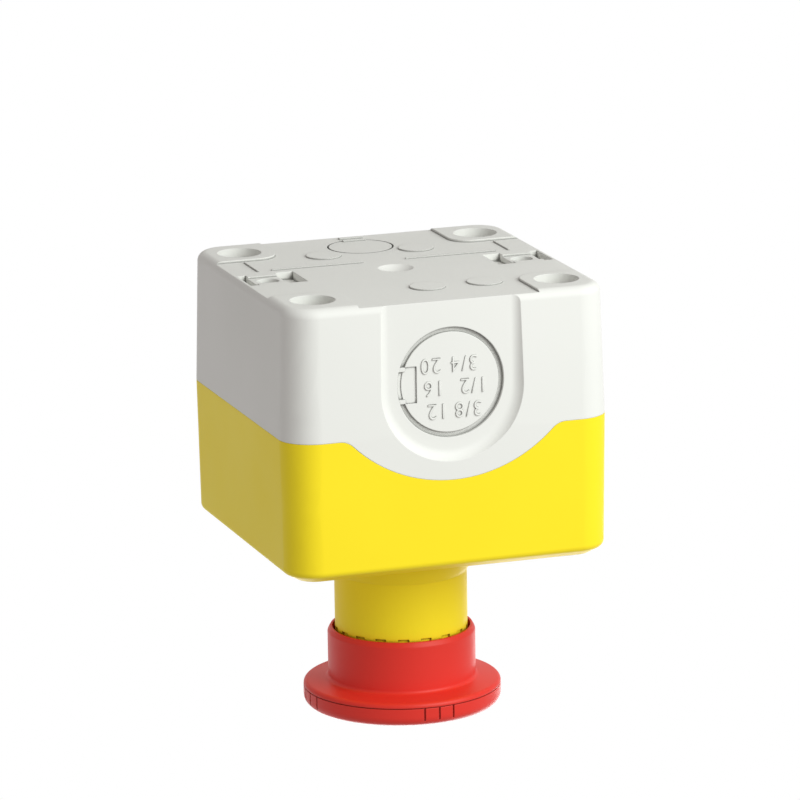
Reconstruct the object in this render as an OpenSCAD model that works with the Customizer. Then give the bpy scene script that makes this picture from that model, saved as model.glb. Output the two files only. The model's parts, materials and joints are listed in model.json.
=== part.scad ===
// Emergency stop control station: a square enclosure with a turn-to-release mushroom button.
// It stands on its back: z = 0 is the mounting face and the button points along +Z.

/* [Enclosure] */
// Width and height of the enclosure at the joint line
box_w = 68; // [64:0.5:80]
// How far each side leans in from the joint line to the back
back_draft = 0.84; // [0.2:0.02:1.2]
// How far each side leans in from the joint line to the front
front_draft = 0.4; // [0.1:0.05:1]
// Radius of the four upright corners
corner_r = 7; // [6:0.5:9]
// Rounding of the edge round the back
back_edge_r = 2; // [1:0.25:3]
// Height of the joint line between base and cover
joint_z = 26.7; // [25:0.1:29]
// Height where the cover's sides end and the bevel starts
bevel_z = 53.75; // [53:0.05:57]
// Height of the bevel
bevel_h = 1.55; // [1:0.05:2.5]
// Width of the bevel, seen from the front
bevel_w = 2.8; // [2:0.1:4]
// Rounding between side and bevel
bevel_r = 1.5; // [0.5:0.1:2]
// Thickness of the base's floor
floor_t = 2.8; // [2:0.1:4]
// Wall thickness of the cover
cover_wall = 3.2; // [3:0.1:4]
// Thickness of the cover's front
front_t = 3; // [2.5:0.1:4]

/* [Joint and seal] */
// Top of the arc that the base rises to over each cable entry
rise_z = 36.45; // [34:0.05:38]
// Radius of that arc
rise_r = 29.5; // [27:0.5:34]
// Gap between base and cover along the joint line
joint_gap = 0.1; // [0.05:0.05:0.2]
// How far the seal's ledge lies below the joint line
ledge_drop = 5.2; // [4:0.1:6]
// Thickness of the ledge
ledge_t = 1.5; // [1:0.1:2.5]
// Width of the ledge
ledge_w = 2.1; // [1.8:0.1:3]
// Width of the seal cord
seal_w = 1.5; // [1:0.1:1.7]
// Height of the seal cord
seal_h = 1.3; // [1:0.1:2]
// Thickness of the cover's tongue that presses the seal
tongue_t = 1.8; // [1.6:0.1:2.2]

/* [Cable entries] */
// Height of the entry's centre
entry_z = 17; // [16:0.1:18]
// Radius of the knock-out disc
entry_r = 10.15; // [8:0.05:10.5]
// Width of the groove round the disc
groove_w = 0.7; // [0.4:0.05:0.9]
// Depth of that groove
groove_d = 0.5; // [0.2:0.05:0.7]
// Depth of the recess round the entry, from the joint line's face
recess_d = 1.55; // [1.2:0.05:1.7]
// Wall that is left behind the recess
recess_wall = 1.05; // [0.9:0.05:1.5]
// Half width of the recess's flat floor
recess_half = 12.75; // [12:0.05:14]
// Radius of the cove round the recess
cove_r = 2.4; // [1.8:0.1:3]
// Height of the recess's round end
recess_z = 17.7; // [17:0.1:18.5]
// Width of the pry notch
pry_w = 3.2; // [2:0.1:4]
// Length of the pry notch
pry_l = 7.4; // [4:0.1:9]
// Depth of the pry notch
pry_d = 0.75; // [0.3:0.05:0.9]
// Width of the gland ring inside the wall
gland_ring_w = 2.2; // [1:0.1:3]
// Height of the gland ring inside the wall
gland_ring_h = 1.4; // [0.5:0.1:2]
// Distance of the back entry from the centre
back_entry_y = 22.4; // [20:0.1:22.5]
// Radius of the back knock-out disc
back_entry_r = 6.85; // [5:0.05:7]
// Width of the groove round the back knock-out
back_groove_w = 0.4; // [0.3:0.05:0.7]

/* [Back face] */
// Height of the corner pads above the back plate
pad_h = 0.5; // [0.3:0.05:0.8]
// Distance of the pads' inner edges from the centre, along X
pad_x = 18.75; // [17:0.25:20]
// Distance of the pads' inner edges from the centre, along Y
pad_y = 17.3; // [16:0.1:18.5]
// Rounding of the pads' inner corners
pad_r = 4.5; // [3:0.5:6]
// Radius of the ejector marks
mark_r = 3.6; // [3:0.1:4]
// Height of the ejector marks
mark_h = 0.3; // [0.1:0.05:0.4]
// Width of the thin ribs
rib_w = 0.4; // [0.3:0.05:0.8]
// Radius of the dimple in the centre
dimple_r = 3.6; // [3:0.1:4.5]
// Depth of the dimple in the centre
dimple_d = 0.8; // [0.3:0.1:1.2]

/* [Mounting] */
// Distance of the mounting holes from the enclosure's sides
mount_inset = 7; // [6.5:0.1:9]
// Diameter of the mounting holes
mount_d = 4.5; // [4:0.1:5.5]
// Thickness of the boss round a mounting hole
mount_boss_w = 1.9; // [1.5:0.1:2.2]
// Height of that boss above the floor
mount_boss_h = 1.8; // [1:0.1:3]

/* [Cover screws] */
// Distance of the screws from the enclosure's sides, along X
screw_inset_x = 8.5; // [8.5:0.1:9.5]
// Distance of the screws from the enclosure's sides, along Y
screw_inset_y = 10; // [8.5:0.1:11]
// Diameter of the screw shank
screw_d = 3.6; // [3:0.1:4]
// Diameter of the screw head
screw_head_d = 7; // [5.5:0.1:7.2]
// Height of the screw head
screw_head_h = 2.6; // [2:0.1:3.5]
// Depth of the screw head's recess in the cover
screw_recess = 6; // [4:0.5:9]
// Length of the shank under the head
screw_len = 36; // [34:0.5:38]
// Diameter of the pockets in the base's corners
pocket_d = 9; // [7:0.1:9.2]
// Depth of those pockets
pocket_depth = 6; // [3:0.5:7]

/* [Bezel] */
// Diameter of the hole in the cover's front
panel_d = 22.3; // [22:0.1:22.6]
// Gap between that hole and the operator body
panel_gap = 0.15; // [0.1:0.05:0.3]
// Radius of the bezel's foot
bezel_r = 16.4; // [16:0.1:18]
// Height of the straight part of the foot
bezel_foot_h = 1; // [0.5:0.1:2]
// Height of the flared part above the cover
bezel_h = 7.7; // [6:0.1:9]
// How much wider the sleeve's bore is than the operator body, on each side
sleeve_step = 1.05; // [0.8:0.05:1.2]
// Wall thickness of the sleeve
sleeve_wall = 1.5; // [1.2:0.05:1.6]
// Clearance between the sleeve's end and the cap when the button is pushed
sleeve_clear = 1.5; // [0.8:0.1:2.5]
// Number of splines round the end of the sleeve
spline_n = 18; // [12:1:24]
// Width of the gaps between the splines
spline_gap = 2.25; // [1.5:0.05:2.5]
// Depth of those gaps
spline_d = 0.5; // [0.3:0.05:0.7]
// Length of the splines
spline_l = 6.9; // [4:0.1:9]
// Thickness of the bezel's seal
bezel_seal_t = 1; // [0.6:0.1:1.4]

/* [Mushroom button] */
// Height of the whole station, from the back to the top of the button
total_h = 91; // [90:0.1:93]
// Radius of the mushroom
cap_r = 20.2; // [18:0.1:22]
// Height of the cap
cap_h = 3.8; // [3.6:0.1:4.5]
// Rounding of the cap's top edge
cap_edge_r = 2; // [1:0.1:2.5]
// Depth of the fine groove between cap and skirt
cap_seam_d = 0.35; // [0.2:0.05:0.6]
// Height of that groove
cap_seam_h = 0.2; // [0.15:0.05:0.3]
// Thickness of the flange at the rim
flange_t = 0.7; // [0.5:0.05:1.2]
// How much thicker the flange is at the skirt
flange_slope = 0.75; // [0.4:0.05:1.2]
// Wall thickness of the skirt
skirt_wall = 1; // [0.8:0.05:1.5]
// Radial gap between skirt and sleeve
skirt_gap = 0.55; // [0.4:0.05:0.7]
// Height of the skirt below the cap
skirt_h = 12.35; // [11:0.05:13]
// Number of grip groups round the cap
grip_groups = 4; // [2:1:6]
// Number of grooves in a grip group
grip_n = 3; // [1:1:5]
// Angle between the grooves of a group
grip_step = 8.9; // [6:0.1:12]
// Width of the grip grooves
grip_w = 0.4; // [0.3:0.05:0.8]
// Depth of the grip grooves
grip_d = 0.4; // [0.2:0.05:0.6]
// How far the head is turned in its hole
head_turn = -3; // [-10:0.5:10]
// Number of turn arrows on the cap
arrow_n = 3; // [2:1:4]
// Mean radius of the turn arrows
arrow_r = 12.5; // [10:0.5:14]
// Width of the arrows' shaft
arrow_w = 2; // [1.5:0.1:3]
// Depth of the arrows
arrow_d = 0.4; // [0.2:0.05:0.6]

/* [Operator] */
// Travel of the button when it is pushed
travel = 4.5; // [3.5:0.1:4.6]
// Clearance under the stem when the button is pushed
foot_clear = 0.4; // [0.2:0.05:0.6]
// Wall thickness of the operator body's guide
guide_wall = 1.4; // [1.2:0.05:1.7]
// Width of the latch ring's room round the stem
latch_room = 1.6; // [1.4:0.05:2]
// Width of the stem's seal
stem_seal_w = 1.5; // [1:0.05:1.8]
// Running clearance of the stem
run_gap = 0.1; // [0.05:0.05:0.2]
// Radius of the release rod
rod_r = 2.2; // [1.8:0.1:2.4]
// Width of the turn spring's room round the rod
turn_room = 1.8; // [1.5:0.05:2.1]
// Thickness of the fixing collar
collar_h = 10; // [8:0.5:10.5]
// Width of the fixing collar, along X
collar_w = 31; // [30:0.5:36]
// Length of the fixing collar, along Y
collar_l = 38; // [38:0.5:42]
// Wire diameter of the return spring
spring_wire = 1.1; // [0.8:0.1:1.3]
// Number of turns of the return spring
spring_turns = 6; // [4:1:8]

/* [Contact blocks] */
// Width of a contact block
block_w = 9.8; // [9.4:0.1:10.2]
// Length of a contact block
block_l = 36; // [35:0.5:37]
// Height of a contact block
block_h = 20; // [20:0.5:22]
// Gap between the two blocks
block_gap = 0.3; // [0.2:0.1:0.6]
// Wall thickness of a contact block
block_wall = 1.2; // [1:0.1:1.3]
// Thickness of the contact strips
strip_t = 0.8; // [0.6:0.05:0.9]
// Width of the contact strips
strip_w = 4.4; // [3.6:0.1:4.6]
// Diameter of the terminal screws' shank
term_d = 3.4; // [3:0.1:3.6]
// Length of the room for a terminal
term_room = 6.8; // [6.5:0.1:7.2]

/* [Hidden] */
$fn = 72;
// Part that is drawn

// Colours
base_white = "#e9ebe6";
yellow = "#f5d90c";
red = "#d0312b";
rubber = "#26282a";
dark_grey = "#3c4043";
light_grey = "#b9bcbb";
steel = "#c9ccce";
brass = "#c9a24a";
green = "#3d9a55";

// Clearances between fixed pieces: pressed, and loose round a screw
fit = 0.05;
slack = 0.3;
// How far a cut runs past a face, and a length past everything
over = 1;
far_cut = 60;

// Enclosure
half = box_w / 2;
core = half - corner_r;
front_z = bevel_z + bevel_h;
recess_face = half - recess_d;
rim_in = recess_face - recess_wall;
cover_in = half - cover_wall;
plate_z = pad_h;
floor_z = plate_z + floor_t;
ledge_z = joint_z - ledge_drop;
inner_front_z = front_z - front_t;
rise_centre_z = rise_z - rise_r;

// Cover screws, their posts in the base and their columns in the cover
screw_x = half - screw_inset_x;
screw_y = half - screw_inset_y;
post_wall = 1.2;
post_r = pocket_d / 2 + post_wall;
pocket_floor = 1.5;
column_wall = 1.6;
column_r = screw_head_d / 2 + column_wall;
column_z = ledge_z + seal_h + fit;
tongue_root = 3;
screw_seat_z = front_z - screw_recess;
cross_l = 4.4;
cross_w = 1;
cross_d = 1.4;

// Back face
mount_x = half - mount_inset;
mark_places = [[-9.9, 16.3], [9.9, 16.3], [0, -19.4], [-12, -19.4]];
rib_y = 7;
rib_l = 19;
rib_in = 5;
side_rib_l = 8;
slot_gap = 6.8;
slot_x = mount_x - slot_gap;
slot_w = 3.6;
slot_l = 8.4;
slot_d = 1.4;
notch_inset = 3.5;
notch_x = half - notch_inset;
notch_w = 1.5;
notch_l = 4.8;
back_pry_w = 5;
back_pry_l = 2.6;
back_pry_in = 3;

// Radii of the head, from the hole in the cover inward and outward
body_r = panel_d / 2 - panel_gap;
bore_r = body_r + sleeve_step;
sleeve_r = bore_r + sleeve_wall;
skirt_in = sleeve_r + skirt_gap;
skirt_r = skirt_in + skirt_wall;
guide_bore_r = body_r - guide_wall;
guide_r = guide_bore_r - latch_room;
spring_gap = 0.3;
spring_r = guide_bore_r - spring_wire - spring_gap;
seal_gap = 0.45;
neck_r = spring_r - spring_wire / 2 - seal_gap - run_gap - stem_seal_w;
turn_bore_r = rod_r + turn_room;
turn_wire = 0.6;
turn_coils = 8;
turn_spring_r = (rod_r + turn_bore_r + run_gap) / 2;

// Heights of the head, from the top of the button down
cap_z = total_h - cap_h;
skirt_z = cap_z - skirt_h;
mouth_edge = 0.55;
root_r = 0.8;
rim_edge = 0.45;
sleeve_top_z = cap_z - cap_seam_h - travel - sleeve_clear;
bezel_top_z = front_z + bezel_h;
bezel_floor = 2.4;
bezel_lip = 0.25;
bezel_rim = 1.2;
sleeve_edge = 0.4;
body_step_z = front_z + bezel_floor + 2 * fit;
grip_top = 1.2;
hub_wall = 1.9;
neck_drop = 0.6;
neck_top_z = cap_z - neck_drop;
cup_drop = 4.2;
cup_z = neck_top_z - cup_drop;
cup_t = 1.5;
cup_lip = 1.5;
cup_wall = 1;
cup_gap = 0.35;
cup_clear = 6.4;
body_top_z = cup_z - cup_lip - travel - cup_clear;
web_rise = 2.7;
web_z = front_z + web_rise;
web_t = 2;
guide_top_z = web_z - run_gap;
seal_ring_h = 1.4;
turn_bore_l = 13;
turn_bore_z = neck_top_z - turn_bore_l;
rod_socket = 1.8;
key_w = 3.2;
key_l = 4;
rod_top_z = cap_z + rod_socket;

// Heights of the operator inside the cover, from the contact blocks up
block_x = (block_w + block_gap) / 2;
collar_z = inner_front_z - collar_h - fit;
collar_r = 4;
collar_screw_r = 1.5;
collar_screw_end = 4.5;
collar_head_r = 2.3;
collar_screw_at = [block_x + block_w / 2 + fit + collar_head_r, collar_l / 2 - collar_screw_end];
collar_head_h = 1.8;
driver_w = 0.8;
hook_d = 2;
hook_h = 1.5;
block_drop = 0.15;
block_z = collar_z - block_drop;
foot_z = block_z + travel + foot_clear;
rod_foot_z = foot_z + neck_drop;
body_rise = 1.4;
body_bottom_z = block_z + body_rise;
thread_n = 4;
thread_pitch = 1.5;
thread_w = 0.6;
latch_rise = 4.5;
latch_z = body_bottom_z + latch_rise;
nose_rise = 0.9;
nose_h = 1;
finger_l = 5.5;
finger_gap = 1.4;
stem_groove_d = 0.7;
stem_groove_h = 1.4;
foot_edge = 0.6;

// Contact blocks
lid_t = block_wall;
plunger_w = 4.2;
plunger_top = foot_z - block_z - run_gap;
spigot_r = 1.2;
spigot_l = 3;
tip_r = 1.3;
tip_h = 0.7;
cross_wall = 1.1;
chamber = block_l / 2 - block_wall - term_room - cross_wall;
jog_gap = 0.8;
jog_y = chamber - jog_gap;
strip_gap = 1;
strip_y = plunger_w / 2 + strip_gap;
tip_shift = 0.5;
tip_y = (strip_y + jog_y - strip_t) / 2 - tip_shift;
bridge_t = 0.8;
bridge_l = 2 * (jog_y - strip_t - jog_gap);
bridge_w = 3.6;
strip_rise = 8;
strip_z = strip_rise - block_h;
nc_strip_z = -7.4;
no_strip_rise = 5;
no_strip_z = no_strip_rise - block_h;
contact_gap = 0.1;
nc_bridge_z = nc_strip_z - strip_t / 2 - 2 * tip_h - fit - bridge_t / 2;
no_bridge_z = no_strip_z + strip_t / 2 + 2 * tip_h + travel + contact_gap + bridge_t / 2;
strip_slot = 2;
wire_w = 4.8;
wire_h = 4.4;
plunger_hole = plunger_w + 0.4;
lid_panel_n = 5;
lid_panel_gap = 1.3;
lid_panel_d = 0.3;
lid_end = 2.4;
lid_edge = 3;
clamp_w = 5.8;
clamp_t = 1;
term_y = chamber + cross_wall + clamp_w / 2;
term_head_r = 2.8;
term_head_h = 2.2;
term_tail = 3;
contact_wire = 0.5;
contact_coils = 5;
contact_spring_r = 2.2;

function unit(v) = v / norm(v);

// Points of one ring of n points round a coil's wire, at angle a of a coil of radius r
function ring_points(r, wire, a, n) = [
    for (k = [0 : n - 1]) let (b = 360 * k / n) [
        (r + wire / 2 * cos(b)) * cos(a),
        (r + wire / 2 * cos(b)) * sin(a),
        wire / 2 * sin(b)
    ]
];

// Coil spring between heights z0 and z1, with closed ends
module coil(r, wire, turns, z0, z1, steps = 14, sides = 6) {
    rings = round(turns * steps);
    rise = z1 - z0 - wire;
    points = [
        for (i = [0 : rings])
            let (t = i / rings, a = 360 * turns * t)
            for (p = ring_points(r, wire, a, sides)) p + [0, 0, z0 + wire / 2 + rise * t]
    ];
    faces = concat(
        [[for (k = [0 : sides - 1]) k]],
        [[for (k = [sides - 1 : -1 : 0]) rings * sides + k]],
        [
            for (i = [0 : rings - 1], k = [0 : sides - 1])
                let (m = (k + 1) % sides)
                [i * sides + k, (i + 1) * sides + k, (i + 1) * sides + m, i * sides + m]
        ]
    );
    polyhedron(points, faces, convexity = 8);
}

module rounded_square(h, r) {
    square([2 * h, 2 * (h - r)], center = true);
    square([2 * (h - r), 2 * h], center = true);
    for (x = [-1, 1], y = [-1, 1])
        translate([x * (h - r), y * (h - r)]) circle(r);
}

// Rounded block whose corner centres are the enclosure's own
module block_at(h, z0, z1) {
    translate([0, 0, z0]) linear_extrude(z1 - z0) rounded_square(h, h - core);
}

module frame_at(h_out, h_in, z0, z1) {
    translate([0, 0, z0]) linear_extrude(z1 - z0) difference() {
        rounded_square(h_out, h_out - core);
        rounded_square(h_in, h_in - core);
    }
}

module at_corners(x, y) {
    for (i = [-1, 1], j = [-1, 1]) translate([i * x, j * y, 0]) children();
}

// Outline of a side, measured outward from the corner centre
module side_outline() {
    wall_dir = unit([-front_draft, bevel_z - joint_z]);
    bevel_dir = unit([-bevel_w, bevel_h]);
    edge = [corner_r - front_draft, bevel_z];
    tangent = bevel_r * tan(acos(wall_dir * bevel_dir) / 2);
    low = edge - tangent * wall_dir;
    high = edge + tangent * bevel_dir;
    back_lean = atan(back_draft / joint_z);
    back_c = [corner_r - back_draft + back_edge_r * (tan(back_lean) - 1 / cos(back_lean)), back_edge_r];
    back_t = back_c + back_edge_r * [cos(back_lean), -sin(back_lean)];
    polygon([
        [0, 0], [back_c[0], 0], back_t, [corner_r, joint_z],
        low, high, edge + [-bevel_w, bevel_h], [0, front_z]
    ]);
    intersection() {
        translate(back_c) circle(back_edge_r);
        translate([back_c[0] - 0.2, 0]) square([back_edge_r + 0.2, back_edge_r]);
    }
    translate(low + bevel_r * [-wall_dir[1], wall_dir[0]]) circle(bevel_r);
}

// Solid outer form of base and cover together
module outer_form() {
    at_corners(core, core) rotate_extrude() side_outline();
    for (a = [0, 90]) rotate([90, 0, a]) linear_extrude(2 * core, center = true) {
        for (m = [0, 1]) mirror([m, 0]) {
            translate([core, 0]) side_outline();
            square([core, front_z]);
        }
    }
}

// Everything below the joint line, moved up by s
module below_joint(s) {
    rotate([90, 0, 0]) linear_extrude(2 * far_cut, center = true) {
        translate([-far_cut, -far_cut]) square([2 * far_cut, far_cut + joint_z + s]);
        translate([0, rise_centre_z]) circle(rise_r + s);
    }
}

// Ring in the wall that follows the joint line from s0 up to s1
module joint_band(h_out, h_in, s0, s1) {
    difference() {
        intersection() {
            frame_at(h_out, h_in, floor_z, inner_front_z);
            below_joint(s1);
        }
        below_joint(s0);
    }
}

// Profile of the recess round a cable entry, from the recess's middle line out
module recess_outline() {
    y = recess_face;
    translate([0, y]) square([recess_half, far_cut]);
    translate([recess_half, y + cove_r]) circle(cove_r);
    translate([0, y + cove_r]) square([recess_half + cove_r, far_cut]);
}

module recess_cut() {
    translate([0, 0, recess_z]) rotate([90, 0, 0]) rotate_extrude() recess_outline();
    translate([0, 0, -far_cut]) linear_extrude(far_cut + recess_z)
        for (m = [0, 1]) mirror([m, 0]) rotate(180) recess_outline();
}

// Groove and pry notch of a cable entry, cut from outside
module entry_cut() {
    translate([0, -recess_face, entry_z]) rotate([90, 0, 0]) {
        difference() {
            translate([0, 0, -groove_d]) cylinder(h = groove_d + over, r = entry_r + groove_w);
            translate([0, 0, -groove_d - over]) cylinder(h = groove_d + 3 * over, r = entry_r);
        }
        translate([entry_r - pry_w, -pry_l / 2, -pry_d]) cube([pry_w + 0.3, pry_l, pry_d + over]);
    }
}

// Ring inside the wall that a gland's nut bears on
module gland_ring() {
    r = entry_r + groove_w;
    root = recess_wall / 2;
    intersection() {
        translate([0, -rim_in - root, entry_z]) rotate([-90, 0, 0]) difference() {
            cylinder(h = gland_ring_h + root, r = r + gland_ring_w);
            translate([0, 0, -over]) cylinder(h = gland_ring_h + 3 * over, r = r);
        }
        below_joint(-ledge_drop);
    }
}

module entry_sides() {
    for (a = [0, 180]) rotate([0, 0, a]) children();
}

// Plan of the corner pads on the back
module pad_plan() {
    for (i = [0, 1], j = [0, 1]) mirror([i, 0]) mirror([0, j]) {
        translate([pad_x + pad_r, pad_y]) square(far_cut);
        translate([pad_x, pad_y + pad_r]) square(far_cut);
        translate([pad_x + pad_r, pad_y + pad_r]) circle(pad_r);
    }
}

// Marks that stand up from the back plate, towards the wall
module back_marks() {
    z = plate_z - mark_h;
    h = mark_h + fit;
    for (p = mark_places) translate([p[0], p[1], z]) cylinder(h = h, r = mark_r);
    for (m = [0, 1]) mirror([m, 0, 0]) {
        translate([rib_in, rib_y, z]) cube([rib_l, rib_w, h]);
        translate([mount_x - rib_w, rib_y + over, z]) cube([rib_w, side_rib_l, h]);
    }
}

// Dimple, knock-out, slots and screw pockets in the back
module back_cuts() {
    dome_r = (dimple_r * dimple_r + dimple_d * dimple_d) / (2 * dimple_d);
    translate([0, 0, plate_z + dimple_d - dome_r]) sphere(dome_r);
    translate([0, back_entry_y, 0]) {
        difference() {
            translate([0, 0, -over]) cylinder(h = over + plate_z + groove_d, r = back_entry_r);
            translate([0, 0, -2 * over]) cylinder(h = far_cut, r = back_entry_r - back_groove_w);
        }
        translate([-back_pry_w / 2, back_entry_r - back_pry_in, -over])
            cube([back_pry_w, back_pry_l, over + plate_z + pry_d]);
    }
    for (m = [0, 1]) mirror([m, 0, 0]) translate([0, 0, -over]) {
        translate([slot_x, -slot_l / 2, 0]) cube([slot_w, slot_l, over + plate_z + slot_d]);
        translate([notch_x, -notch_l / 2, 0]) cube([notch_w, notch_l, over + plate_z + slot_d]);
    }
}

// Plan of a screw's post or column: a round of radius r with a web to each near wall
module post_plan(r) {
    web = 0.6 * r;
    for (i = [0, 1], j = [0, 1]) mirror([i, 0]) mirror([0, j]) translate([screw_x, screw_y]) {
        circle(r);
        translate([0, -web / 2]) square([half, web]);
        translate([-web / 2, 0]) square([web, half]);
    }
}

module base_housing() {
    root = recess_wall / 2;
    color(base_white) difference() {
        union() {
            difference() {
                intersection() {
                    outer_form();
                    below_joint(0);
                }
                block_at(rim_in, floor_z, front_z);
                difference() {
                    translate([0, 0, -over]) linear_extrude(over + plate_z) square(4 * half, center = true);
                    translate([0, 0, -2 * over]) linear_extrude(4 * over) pad_plan();
                }
                entry_sides() recess_cut();
            }
            joint_band(rim_in + root, rim_in - ledge_w, -ledge_drop - ledge_t, -ledge_drop);
            intersection() {
                translate([0, 0, plate_z]) linear_extrude(ledge_z - plate_z) post_plan(post_r);
                block_at(rim_in + root, plate_z, ledge_z);
            }
            for (x = [-1, 1]) translate([x * mount_x, 0, floor_z - root])
                cylinder(h = mount_boss_h + root, r = mount_d / 2 + mount_boss_w);
            entry_sides() gland_ring();
            back_marks();
        }
        entry_sides() entry_cut();
        back_cuts();
        at_corners(screw_x, screw_y) {
            translate([0, 0, -over]) cylinder(h = pocket_depth + over, r = pocket_d / 2);
            translate([0, 0, pocket_depth + pocket_floor]) cylinder(h = ledge_z, r = screw_d / 2 + fit);
        }
        for (x = [-1, 1]) translate([x * mount_x, 0, -over])
            cylinder(h = floor_z + mount_boss_h + 2 * over, r = mount_d / 2);
    }
}

module cover() {
    color(yellow) difference() {
        union() {
            difference() {
                intersection() {
                    outer_form();
                    difference() {
                        translate([0, 0, far_cut / 2]) cube([4 * half, 4 * half, 2 * far_cut], center = true);
                        below_joint(joint_gap);
                    }
                }
                block_at(cover_in, 0, inner_front_z);
            }
            joint_band(rim_in - 2 * fit, rim_in - 2 * fit - tongue_t, seal_h + fit - ledge_drop, tongue_root);
            intersection() {
                translate([0, 0, column_z]) linear_extrude(inner_front_z + over - column_z)
                    post_plan(column_r);
                block_at(rim_in - 2 * fit, column_z, inner_front_z + over);
            }
        }
        cylinder(h = 2 * far_cut, r = panel_d / 2);
        at_corners(screw_x, screw_y) {
            cylinder(h = 2 * far_cut, r = screw_d / 2 + slack);
            translate([0, 0, screw_seat_z]) cylinder(h = far_cut, r = screw_head_d / 2 + slack);
        }
    }
}

module cover_seal() {
    color(rubber)
        joint_band(rim_in - 2 * fit, rim_in - 2 * fit - seal_w, fit - ledge_drop, seal_h - ledge_drop);
}

module cover_screws() {
    color(steel) at_corners(screw_x, screw_y) difference() {
        union() {
            translate([0, 0, screw_seat_z]) cylinder(h = screw_head_h, r = screw_head_d / 2);
            translate([0, 0, screw_seat_z - screw_len]) cylinder(h = screw_len + 0.5, r = screw_d / 2);
        }
        for (a = [0, 90]) rotate(a)
            translate([-cross_l / 2, -cross_w / 2, screw_seat_z + screw_head_h - cross_d])
                cube([cross_l, cross_w, cross_d + over]);
    }
}

module bezel_sleeve() {
    z0 = front_z + fit;
    floor_top = front_z + bezel_floor;
    color(yellow) rotate(head_turn) difference() {
        rotate_extrude() difference() {
            polygon([
                [body_r + fit, z0], [bezel_r, z0], [bezel_r, z0 + bezel_foot_h],
                [sleeve_r + bezel_lip, bezel_top_z - bezel_lip], [sleeve_r, bezel_top_z],
                [sleeve_r, sleeve_top_z - sleeve_edge], [sleeve_r - sleeve_edge, sleeve_top_z],
                [bore_r, sleeve_top_z], [bore_r, floor_top], [body_r + fit, floor_top]
            ]);
            translate([0, z0 - over]) square([bezel_r - bezel_rim, over + bezel_seal_t]);
        }
        for (i = [0 : spline_n - 1]) rotate(360 * i / spline_n - 90)
            translate([sleeve_r - spline_d, -spline_gap / 2, sleeve_top_z - spline_l])
                cube([spline_d + over, spline_gap, spline_l + over]);
    }
}

module bezel_seal() {
    color(rubber) translate([0, 0, front_z]) difference() {
        cylinder(h = bezel_seal_t, r = bezel_r - bezel_rim - slack);
        translate([0, 0, -over]) cylinder(h = bezel_seal_t + 2 * over, r = body_r + slack);
    }
}

// Guide tube of the button: clamps the bezel and passes through the cover
module operator_body() {
    color(dark_grey) rotate_extrude() difference() {
        union() {
            translate([guide_bore_r, body_bottom_z])
                square([guide_wall, body_step_z - body_bottom_z]);
            translate([guide_bore_r, body_step_z])
                square([bore_r - fit - guide_bore_r, body_top_z - body_step_z]);
            translate([neck_r + run_gap, web_z]) square([body_r - neck_r - run_gap, web_t]);
        }
        for (i = [1 : thread_n]) translate([body_r, body_bottom_z + thread_pitch * i])
            rotate(45) square(thread_w, center = true);
    }
}

module fixing_collar() {
    r = collar_r;
    color(light_grey) translate([0, 0, collar_z]) difference() {
        linear_extrude(collar_h) difference() {
            union() {
                square([collar_w, collar_l - 2 * r], center = true);
                square([collar_w - 2 * r, collar_l], center = true);
                for (x = [-1, 1], y = [-1, 1])
                    translate([x * (collar_w / 2 - r), y * (collar_l / 2 - r)]) circle(r);
            }
            circle(body_r + run_gap);
            for (s = [-1, 1]) translate(s * collar_screw_at) circle(collar_screw_r + run_gap);
        }
        // Grooves that the contact blocks' clips hook into
        for (m = [0, 1]) mirror([0, m, 0])
            translate([-collar_w / 2 - over, collar_l / 2 - hook_d, collar_h * 0.3])
                cube([collar_w + 2 * over, hook_d + over, hook_h]);
    }
}

module collar_screws() {
    z = -collar_head_h;
    color(steel) for (s = [-1, 1]) translate([0, 0, collar_z]) translate(s * collar_screw_at) difference() {
        union() {
            translate([0, 0, z]) cylinder(h = collar_head_h, r = collar_head_r);
            translate([0, 0, z]) cylinder(h = collar_head_h + collar_h, r = collar_screw_r);
        }
        translate([-driver_w / 2, -collar_head_r - over, z - over])
            cube([driver_w, 2 * (collar_head_r + over), over + collar_head_h / 2]);
    }
}

// Ring with spring fingers that holds the stem down
module latch_ring() {
    z0 = latch_z;
    z1 = web_z - fit;
    nose_z = z0 + nose_rise;
    inner_r = guide_r + slack;
    color(steel) difference() {
        rotate_extrude() polygon([
            [guide_bore_r - fit, z0], [guide_bore_r - fit, z1], [inner_r, z1],
            [inner_r, nose_z + 1.5 * nose_h], [guide_r + run_gap, nose_z + nose_h],
            [guide_r + run_gap, nose_z], [inner_r, z0]
        ]);
        for (a = [0, 90]) rotate(a)
            translate([-guide_bore_r - over, -finger_gap / 2, z0 - over])
                cube([2 * (guide_bore_r + over), finger_gap, finger_l + over]);
    }
}

module stem_seal() {
    r = neck_r + run_gap;
    color(rubber) translate([0, 0, web_z + web_t + fit]) rotate_extrude() polygon([
        [r, 0], [r + stem_seal_w, 0], [r + stem_seal_w, seal_ring_h],
        [r + 0.6 * stem_seal_w, 0.65 * seal_ring_h], [r, seal_ring_h]
    ]);
}

module return_spring() {
    color(steel) coil(spring_r, spring_wire, spring_turns, web_z + web_t + fit, cup_z - fit, 16, 8);
}

module stem() {
    groove_z = latch_z + nose_rise + travel;
    groove_r = guide_r - stem_groove_d;
    groove_top = groove_z + stem_groove_h;
    color(light_grey) rotate_extrude() polygon([
        [rod_r + run_gap, foot_z], [guide_r - foot_edge, foot_z], [guide_r, foot_z + foot_edge],
        [guide_r, groove_z], [groove_r, groove_z + stem_groove_d / 2], [groove_r, groove_top],
        [guide_r, groove_top], [guide_r, guide_top_z], [neck_r, guide_top_z],
        [neck_r, neck_top_z], [turn_bore_r, neck_top_z], [turn_bore_r, turn_bore_z],
        [rod_r + run_gap, turn_bore_z]
    ]);
}

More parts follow.
